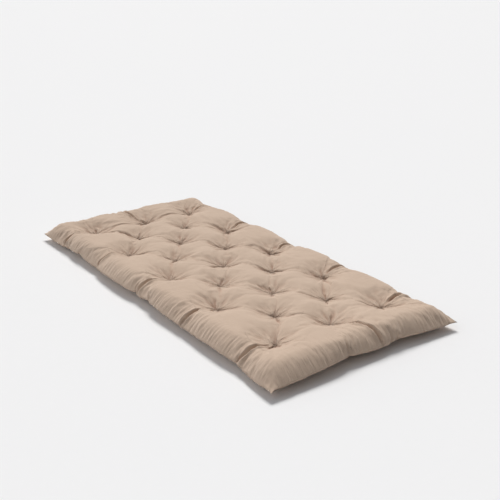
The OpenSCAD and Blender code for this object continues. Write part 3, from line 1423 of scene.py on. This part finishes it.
def ring_points(path: np.ndarray, tangent: np.ndarray, radius: float, sides: int) -> np.ndarray:
    """Rings of points square to a path that keeps clear of the Y direction."""
    tangent = tangent / np.linalg.norm(tangent, axis=1, keepdims=True)
    side = np.cross(tangent, np.array([0.03, 1.0, 0.02]))
    side /= np.linalg.norm(side, axis=1, keepdims=True)
    other = np.cross(tangent, side)
    angle = 2 * math.pi * np.arange(sides) / sides
    spread = np.cos(angle)[None, :, None] * side[:, None] + np.sin(angle)[None, :, None] * other[:, None]
    return path[:, None] + radius * spread


def ring_faces(first: int, second: int, sides: int) -> list[list[int]]:
    """Quads between two rings."""
    return [[first + k, first + (k + 1) % sides, second + (k + 1) % sides, second + k] for k in range(sides)]


# ---------------------------------------------------------------- the studio


@dataclass(frozen=True)
class Studio:
    """A pale floor, soft light and the camera."""

    floor_grey: Colour = (0.86, 0.86, 0.87)
    floor_worn: Colour = (0.87, 0.87, 0.88)
    floor_reach: float = 30.0
    key_from: Colour = (0.52, 0.72, 1.10)
    fill_from: Colour = (-0.90, 0.15, 0.60)
    sky_glow: float = 0.31
    horizon_glow: float = 0.80
    sky_fall: float = 9.0
    sky_slope: float = 0.65
    lens: float = 57.6
    camera_place: Colour = (-1.824, -2.745, 1.384)
    heading: float = 54.31
    tilt: float = 20.76

    def build(self) -> None:
        """Sets the floor, the lights and the camera."""
        self._floor()
        self._lights()
        self._camera()

    def _floor(self) -> None:
        """A wide pale floor with a faint tooth."""
        finish = Finish("studio_floor")
        grain = finish.noise(30.0, 2.0)
        base = finish.blend_colours(grain, self.floor_grey, self.floor_worn)
        finish.feed(finish.shader.inputs["Base Color"], base)
        finish.shader.inputs["Roughness"].default_value = 0.9
        signs = ((-1, -1, 0), (1, -1, 0), (1, 1, 0), (-1, 1, 0))
        corners = np.array(signs) * self.floor_reach
        floor = mesh_object("studio_floor", corners, [[0, 1, 2, 3]], finish.material)

    def _lights(self) -> None:
        """A broad soft key from behind and to one side, a weak fill across it, and an even sky."""
        self._sun("key_light", self.key_from, 2.65, 24.0, (1.0, 0.985, 0.96))
        self._sun("fill_light", self.fill_from, 0.35, 60.0, (0.97, 0.98, 1.0))
        self._sky()
        bpy.context.scene.view_settings.view_transform = "Standard"

    def _sky(self) -> None:
        """A soft sky, brighter behind the mattress, that turns as pale as the floor at the horizon."""
        world = bpy.data.worlds.new("studio_sky")
        world.use_nodes = True
        tree = world.node_tree
        place = tree.nodes.new("ShaderNodeTexCoord")
        split = tree.nodes.new("ShaderNodeSeparateXYZ")
        tree.links.new(place.outputs["Generated"], split.inputs["Vector"])
        low = (1.0 - Channel(tree, split.outputs["Z"]) * self.sky_fall).clamped()
        behind = Channel(tree, split.outputs["Y"]) * self.sky_slope - Channel(tree, split.outputs["X"]) * 0.15
        strength = low**2.0 * (self.horizon_glow - self.sky_glow) + (1.0 + behind) * self.sky_glow
        sky = tree.nodes["Background"]
        sky.inputs["Color"].default_value = (0.95, 0.97, 1.0, 1.0)
        tree.links.new(strength.socket, sky.inputs["Strength"])
        bpy.context.scene.world = world

    def _sun(self, name: str, direction: Colour, power: float, softness: float, colour: Colour) -> None:
        """Adds an even light from far away, which comes from this direction and is this many degrees wide."""
        light = bpy.data.lights.new(name, "SUN")
        light.energy = power
        light.angle = math.radians(softness)
        light.color = colour
        lamp = bpy.data.objects.new(name, light)
        lamp.rotation_euler = (-Vector(direction)).to_track_quat("-Z", "Y").to_euler()
        bpy.context.scene.collection.objects.link(lamp)

    def _camera(self) -> None:
        """Stands the camera off the foot end's left corner, looking down along the mattress."""
        camera = bpy.data.cameras.new("camera")
        camera.lens = self.lens
        camera.sensor_width = 36.0
        heading, tilt = math.radians(self.heading), math.radians(self.tilt)
        level = math.cos(tilt)
        view = Vector((math.cos(heading) * level, math.sin(heading) * level, -math.sin(tilt)))
        holder = bpy.data.objects.new("camera", camera)
        holder.location = self.camera_place
        holder.rotation_euler = view.to_track_quat("-Z", "Y").to_euler()
        bpy.context.scene.collection.objects.link(holder)
        bpy.context.scene.camera = holder


def main() -> None:
    """Builds the mattress and reports each piece."""
    logging.basicConfig(level=logging.INFO, format="%(name)s: %(message)s")
    Studio().build()
    size = MattressSize.read()
    case = Case(size)
    pieces = case.build(BrushedCotton().material())
    batting = COTTON_BATTING.material()
    foam = FoamCells().material()
    layers = {Layer.BATTING_BOTTOM: batting, Layer.FOAM_CORE: foam, Layer.BATTING_TOP: batting}
    pieces += Filling(case).build(layers)
    pieces += SeamThreads(case).build(SPUN_THREAD.material())
    twine = TWISTED_TWINE.material()
    maker = TuftTwine(size)
    for number, (top, bottom) in enumerate(case.tuft_beds(), start=1):
        pieces.append(maker.build(number, top, bottom, twine))
    for piece in pieces:
        LOG.info("%s: %d faces", piece.name, len(piece.data.polygons))


if __name__ == "__main__":
    main()
